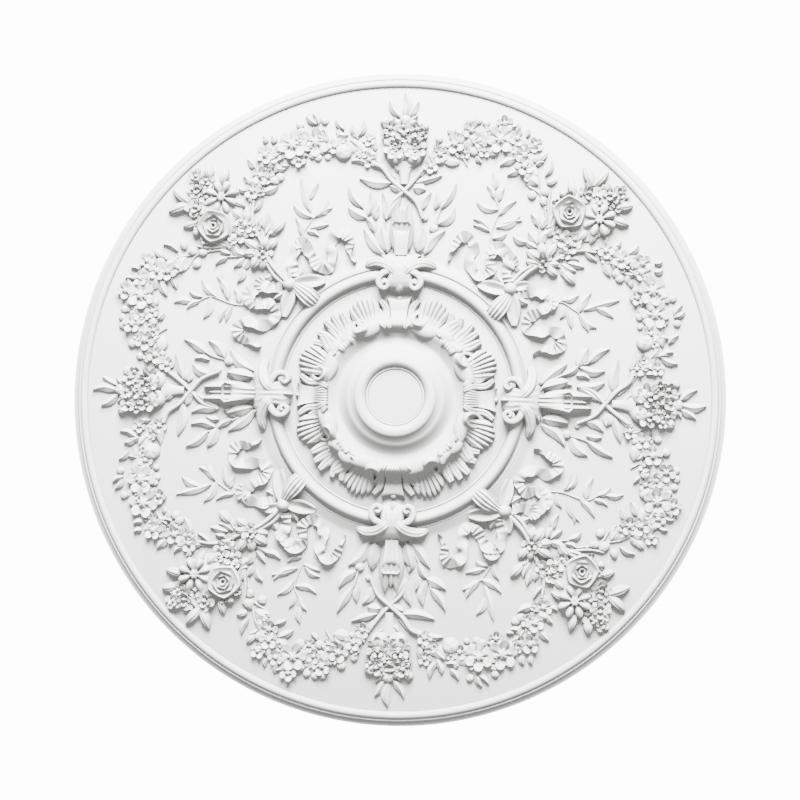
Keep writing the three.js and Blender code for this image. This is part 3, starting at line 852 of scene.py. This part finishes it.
class ROSE_OT_garlands(bpy.types.Operator):
    """Carve the flower garlands between the axis motifs and the bouquets."""

    bl_idname = "rose.garlands"
    bl_label = "Garlands"

    def execute(self, context):
        k = Carver(Ground())
        self.first(k)
        self.second(k)
        for turn in range(QUARTERS):
            k.make(f"garland_{turn + 1}", turn)
        return {"FINISHED"}

    @staticmethod
    def first(k):
        """The garland from the posy to the bouquet."""
        line = [(38, 338), (56, 358), (78, 374), (100, 380), (124, 384), (146, 386), (168, 368), (180, 346),
                (192, 328)]
        k.mound(line, lambda t: 4 + 9 * np.sin(math.pi * (0.05 + 0.9 * t)) ** 0.7, 5)
        k.fill(line, 11, 20, 8.5)
        for x, y, r in ((39, 338, 10), (52, 355, 11), (73, 371, 13), (88, 359, 8), (97, 391, 12),
                        (109, 377, 10), (116, 362, 9), (120, 392, 7), (145, 402, 11), (164, 381, 10),
                        (175, 356, 12), (190, 372, 10), (175, 341, 12), (182, 328, 9), (127, 382, 8),
                        (86, 379, 8)):
            k.blossom(x, y, r)
        k.blossom(139, 379, 18, 14, 6)
        for x, y, r in ((50, 378, 6), (68, 390, 7), (101, 361, 7), (118, 403, 6), (129, 361, 8),
                        (175, 375, 6), (189, 352, 7), (187, 299, 7), (94, 405, 6), (106, 406, 6)):
            k.berry(x, y, r)
        for row in ((195, 349, 207, 362, 11), (208, 317, 223, 322, 11), (210, 299, 202, 313, 13),
                    (207, 285, 199, 294, 9), (58, 348, 81, 344, 17)):
            k.pod(*row, 9)
        for row in ((162, 352, 139, 341, 11), (168, 334, 150, 327, 9), (205, 327, 215, 350, 8),
                    (104, 354, 113, 344, 8), (162, 390, 164, 404, 6), (177, 383, 179, 396, 6),
                    (148, 368, 172, 359, 18), (174, 323, 196, 314, 18), (214, 253, 220, 275, 8)):
            k.leaf(*row)
        for line in ([(24, 324), (32, 332), (52, 347), (68, 356), (83, 353), (92, 340)],
                     [(62, 358), (82, 372), (101, 379), (132, 377)],
                     [(181, 349), (195, 330), (199, 313), (206, 281), (210, 257)],
                     [(182, 312), (199, 301), (208, 279)]):
            k.stem(line)

    @staticmethod
    def second(k):
        """The garland from the bouquet to the next posy."""
        line = [(350, 44), (362, 62), (366, 84), (372, 108), (370, 132), (364, 158), (352, 186), (334, 206),
                (306, 216), (290, 222)]
        k.mound(line, lambda t: 4 + 9 * np.sin(math.pi * (0.05 + 0.9 * t)) ** 0.7, 5)
        k.fill(line, 11, 22, 8.5, 0.7)
        for x, y, r in ((375, 52, 9), (358, 59, 9), (345, 51, 10), (364, 102, 10), (343, 154, 10),
                        (349, 203, 12), (348, 190, 10), (318, 209, 12), (316, 198, 9), (296, 221, 11),
                        (302, 209, 7), (338, 204, 8)):
            k.blossom(x, y, r)
        k.blossom(369, 130, 18, 13, 6)
        k.blossom(365, 164, 19, 14, 6)
        k.berry(356, 89, 13, 13)
        for x, y, r in ((401, 118, 6), (359, 111, 5), (348, 112, 5), (394, 154, 6), (385, 152, 6),
                        (317, 181, 7), (312, 188, 7), (350, 134, 6), (347, 126, 6), (357, 121, 6)):
            k.berry(x, y, r)
        for row in ((379, 69, 404, 60, 9), (380, 71, 397, 77, 9), (375, 81, 362, 65, 10),
                    (340, 53, 343, 78, 9), (384, 101, 381, 83, 9), (389, 89, 404, 102, 9),
                    (396, 130, 408, 146, 8), (396, 127, 412, 136, 8), (356, 156, 349, 141, 9),
                    (366, 192, 379, 195, 9), (366, 204, 378, 207, 8), (329, 194, 345, 177, 6),
                    (330, 188, 329, 173, 8), (334, 179, 334, 168, 7), (328, 216, 343, 230, 11),
                    (305, 226, 318, 235, 8), (294, 207, 304, 183, 11), (290, 221, 278, 221, 9),
                    (265, 219, 284, 205, 7)):
            k.leaf(*row)
        k.stem([(320, 13), (337, 29), (354, 56), (367, 73), (375, 93), (371, 118), (365, 145), (349, 164),
                (345, 183), (333, 198), (309, 207), (295, 218), (280, 223), (260, 220), (238, 213)])


class ROSE_OT_sprigs(bpy.types.Operator):
    """Carve the thin laurel sprigs that stand free between the motifs."""

    bl_idname = "rose.sprigs"
    bl_label = "Laurel sprigs"

    def execute(self, context):
        k = Carver(Ground())
        for row in ((126, 249, 103, 263, 8), (128, 245, 103, 254, 7), (139, 277, 107, 287, 10),
                    (133, 293, 121, 312, 8), (132, 305, 130, 331, 9), (139, 289, 147, 309, 7),
                    (140, 269, 165, 291, 9), (136, 251, 171, 269, 10), (144, 256, 174, 262, 6),
                    (131, 235, 152, 243, 8), (233, 147, 259, 156, 8), (259, 130, 277, 160, 10),
                    (266, 134, 318, 150, 10), (284, 138, 310, 124, 10), (260, 128, 286, 109, 10),
                    (263, 121, 274, 103, 9), (239, 139, 232, 121, 8), (243, 135, 250, 107, 8)):
            k.leaf(*row, height=k.sizes["leaf_height"] * 0.75)
        k.stem([(129, 221), (130, 244), (140, 276), (133, 295), (132, 307)], 3, 3)
        k.stem([(216, 141), (234, 145), (252, 135), (260, 129), (268, 117)], 3, 3)
        for turn in range(QUARTERS):
            k.make(f"sprigs_{turn + 1}", turn)
        return {"FINISHED"}


class ROSE_OT_collar(bpy.types.Operator):
    """Carve the collar: shell fans with round hollows, and leaves on the axes and diagonals."""

    bl_idname = "rose.collar"
    bl_label = "Acanthus collar"

    def execute(self, context):
        k = Carver(Ground())
        self.swells(k)
        for angle in (22, 68):
            self.fan(k, angle, 104, 154, 7, 23, 6, 13)
        self.hollow(k, 31, 113)
        self.hollow(k, 100, 56)
        self.sheath(k)
        self.acanthus(k)
        for turn in range(QUARTERS):
            k.make(f"collar_{turn + 1}", turn)
        return {"FINISHED"}

    @staticmethod
    def place(angle, u, v):
        """From across and outward at a compass angle to the drawing's x and y."""
        a = math.radians(angle)
        return u * math.cos(a) + v * math.sin(a), v * math.cos(a) - u * math.sin(a)

    def fan(self, k, angle, root, tip, half_root, half_tip, flutes, high):
        """A shell fan of rounded fingers that slopes down the collar on to the field."""
        def lay(s, t):
            lobes = np.abs(np.cos(flutes * math.pi * s / 2 + (0 if flutes % 2 else math.pi / 2)))
            far = (tip - root) * (1 - 0.20 * s ** 2) * (0.84 + 0.16 * lobes ** 0.6)
            v = root + far * t - 3 * s ** 2
            u = s * (half_root + (half_tip - half_root) * t ** 0.8)
            base = high * np.interp(t, [0, 0.25, 0.6, 0.9, 1], [0.2, 0.8, 1.1, 1, 0.5])
            x, y = self.place(angle, u, v)
            return x, y, base * (0.70 + 0.30 * lobes ** 1.2)

        k.sheet(flutes * 8, 16, lay)

    @staticmethod
    def hollow(k, x, y):
        """The round eye where two overturned leaf ends meet at the root of a fan."""
        outward = math.atan2(y, x)

        def lift(rho, theta):
            rim = 15 * np.exp(-((rho - 0.52) / 0.30) ** 2) * (0.78 - 0.22 * np.cos(theta - outward))
            return 3 + rim - 17 * np.exp(-(rho / 0.38) ** 4)

        k.disc(x, y, 17, lift, 16, 40)

    @staticmethod
    def swells(k):
        """The smooth swelling leaf bodies along the inner edge of the collar."""
        crest = k.sizes["collar_height"]
        for points, wide, rise in (([(18, 104), (40, 95), (62, 93)], 11, 10),
                                   ([(89, 62), (95, 42), (107, 22)], 12, 11),
                                   ([(56, 90), (66, 90), (78, 80)], 9, 8),
                                   ([(76, 80), (84, 71), (94, 70)], 8, 9)):
            def half(t, wide=wide):
                return wide * np.sin(math.pi * (0.10 + 0.80 * t)) ** 0.6

            def lift(s, t, rise=rise):
                dome = np.sqrt(np.clip(1 - s ** 2, 0, 1)) * np.sin(math.pi * (0.15 + 0.7 * t)) ** 0.5
                return crest - 6 + rise * dome

            k.strip(points, half, lift, 16, 24, absolute=True)

    @staticmethod
    def lobe(k, points, wide, high):
        """A round leaf lobe with a groove down its middle, highest at its overturned tip."""
        def half(t):
            return 1 + wide * np.sin(math.pi * (0.10 + 0.74 * t)) ** 0.7

        def lift(s, t):
            body = 0.35 + 0.65 * np.sqrt(np.clip(1 - s ** 2, 0, 1)) - 0.16 * np.exp(-(s / 0.22) ** 2)
            return high * body * (0.72 + 0.38 * t)

        k.strip(points, half, lift, 12, 16)

    def sheath(self, k):
        """The sheath on the axis, pleated at its foot, between sweeping leaves."""
        def lay(s, t):
            half = np.interp(t, [0, 0.15, 0.45, 0.75, 1], [14, 13, 11, 13, 17])
            v = 98 + 44 * t + 3 * t * np.abs(s) ** 2.5 + 1.5 * (1 - t) * np.cos(7 * math.pi * s)
            base = np.interp(t, [0, 0.12, 0.4, 0.7, 0.92, 1], [4, 7, 8, 11, 11, 7])
            pleats = 1.6 * np.cos(7 * math.pi * s) * np.clip(1 - 1.3 * t, 0, 1)
            return s * half, v, base + pleats + 2.5 * np.abs(s) ** 3 * t

        k.sheet(32, 18, lay)
        k.berry(0, 143, 4.5, 9)
        for side in (-1, 1):
            self.lobe(k, [(side * 11, 98), (side * 18, 112), (side * 19, 128), (side * 28, 140)], 5, 13)
        self.lobe(k, [(-17, 98), (-25, 108), (-27, 120), (-36, 128)], 4.5, 12)

    def acanthus(self, k):
        """The curled many-lobed leaf on the diagonal."""
        self.fan(k, 45, 100, 146, 9, 16, 4, 11)
        for points, wide, high in (([(76, 84), (84, 100), (90, 117)], 5.5, 12),
                                   ([(80, 82), (94, 93), (107, 107)], 6, 14),
                                   ([(82, 78), (99, 85), (115, 96)], 6, 14),
                                   ([(84, 72), (102, 74), (119, 83)], 6.5, 15),
                                   ([(58, 90), (70, 100), (86, 110)], 8, 13),
                                   ([(66, 96), (74, 110), (76, 122)], 5, 11),
                                   ([(58, 102), (62, 112), (62, 122)], 4, 9),
                                   ([(104, 26), (118, 28), (128, 37)], 5, 11)):
            self.lobe(k, points, wide, high)


class ROSE_OT_stage(bpy.types.Operator):
    """Set the floor, the soft light, the sky and the camera."""

    bl_idname = "rose.stage"
    bl_label = "Stage"

    def execute(self, context):
        bpy.ops.object.select_all(action="DESELECT")
        bpy.ops.mesh.primitive_plane_add(size=30, location=(0, 0, -3.6))
        floor = context.object
        floor.name = "floor"
        mat = bpy.data.materials.new("pale_floor")
        mat.use_nodes = True
        mat.node_tree.nodes["Principled BSDF"].inputs["Base Color"].default_value = (0.8, 0.8, 0.79, 1)
        mat.node_tree.nodes["Principled BSDF"].inputs["Roughness"].default_value = 0.9
        floor.data.materials.append(mat)
        self.light("key", (0.1, -2.5, -2.1), 1.9, 930)
        self.sky(context)
        self.camera(context)
        return {"FINISHED"}

    @staticmethod
    def light(name, place, size, watts):
        """A square lamp that faces the rose and gives direct light only."""
        data = bpy.data.lights.new(name, "AREA")
        data.size = size
        data.energy = watts
        data.cycles.max_bounces = 0
        lamp = bpy.data.objects.new(name, data)
        lamp.location = place
        lamp.rotation_euler = (-Vector(place)).to_track_quat("-Z", "Y").to_euler()
        bpy.context.collection.objects.link(lamp)

    @staticmethod
    def sky(context):
        """A white surround, bright where the camera sees it and faint as a light."""
        world = bpy.data.worlds.new("soft_white")
        context.scene.world = world
        world.cycles.max_bounces = 0
        world.use_nodes = True
        nodes, links = world.node_tree.nodes, world.node_tree.links
        back = nodes["Background"]
        back.inputs["Color"].default_value = (1, 1, 1, 1)
        seen = nodes.new("ShaderNodeLightPath")
        level = nodes.new("ShaderNodeMapRange")
        level.inputs["To Min"].default_value = 0.4
        level.inputs["To Max"].default_value = 14.0
        links.new(seen.outputs["Is Camera Ray"], level.inputs["Value"])
        links.new(level.outputs["Result"], back.inputs["Strength"])

    @staticmethod
    def camera(context):
        """A long lens below the rose, a little to one side and rolled a little."""
        distance = 3.0
        data = bpy.data.cameras.new("camera")
        data.lens = 92.7
        data.sensor_width = 36.0
        data.clip_end = 100
        cam = bpy.data.objects.new("camera", data)
        away = Vector((0.062, 0.040, 0))
        away.z = -math.sqrt(1 - away.length_squared)
        place = away * distance
        target = Vector((0.0039, 0.0028, 0))
        look = (target - place).normalized()
        right = look.cross(Vector((0, -1, 0))).normalized()
        up = right.cross(look)
        roll = math.radians(1.8)
        across = right * math.cos(roll) + up * math.sin(roll)
        upward = up * math.cos(roll) - right * math.sin(roll)
        matrix = Matrix((across, upward, -look)).transposed().to_4x4()
        matrix.translation = place
        cam.matrix_world = matrix
        context.collection.objects.link(cam)
        context.scene.camera = cam


class ROSE_PT_panel(bpy.types.Panel):
    """Lists the pieces of the rose and their sizes."""

    bl_idname = "ROSE_PT_panel"
    bl_label = "Ceiling rose"
    bl_space_type = "VIEW_3D"
    bl_region_type = "UI"
    bl_category = "Rose"

    def draw(self, context):
        layout = self.layout
        for operator in OPERATORS:
            layout.operator(operator.bl_idname)
        for group in (context.scene.rose_sizes, context.scene.rose_relief, context.scene.rose_finish):
            box = layout.box()
            for key in group.__class__.__annotations__:
                box.prop(group, key)


OPERATORS = (ROSE_OT_mouldings, ROSE_OT_axis_motifs, ROSE_OT_bouquets, ROSE_OT_garlands, ROSE_OT_sprigs,
             ROSE_OT_collar, ROSE_OT_stage)
CLASSES = (RoseSizes, ReliefSizes, FinishSettings, *OPERATORS, ROSE_PT_panel)


def register():
    for cls in CLASSES:
        bpy.utils.register_class(cls)
    bpy.types.Scene.rose_sizes = bpy.props.PointerProperty(type=RoseSizes)
    bpy.types.Scene.rose_relief = bpy.props.PointerProperty(type=ReliefSizes)
    bpy.types.Scene.rose_finish = bpy.props.PointerProperty(type=FinishSettings)


def unregister():
    del bpy.types.Scene.rose_finish
    del bpy.types.Scene.rose_relief
    del bpy.types.Scene.rose_sizes
    for cls in reversed(CLASSES):
        bpy.utils.unregister_class(cls)


def main():
    register()
    bpy.ops.rose.mouldings()
    bpy.ops.rose.axis_motifs()
    bpy.ops.rose.bouquets()
    bpy.ops.rose.garlands()
    bpy.ops.rose.sprigs()
    bpy.ops.rose.collar()
    bpy.ops.rose.stage()


if __name__ == "__main__":
    main()
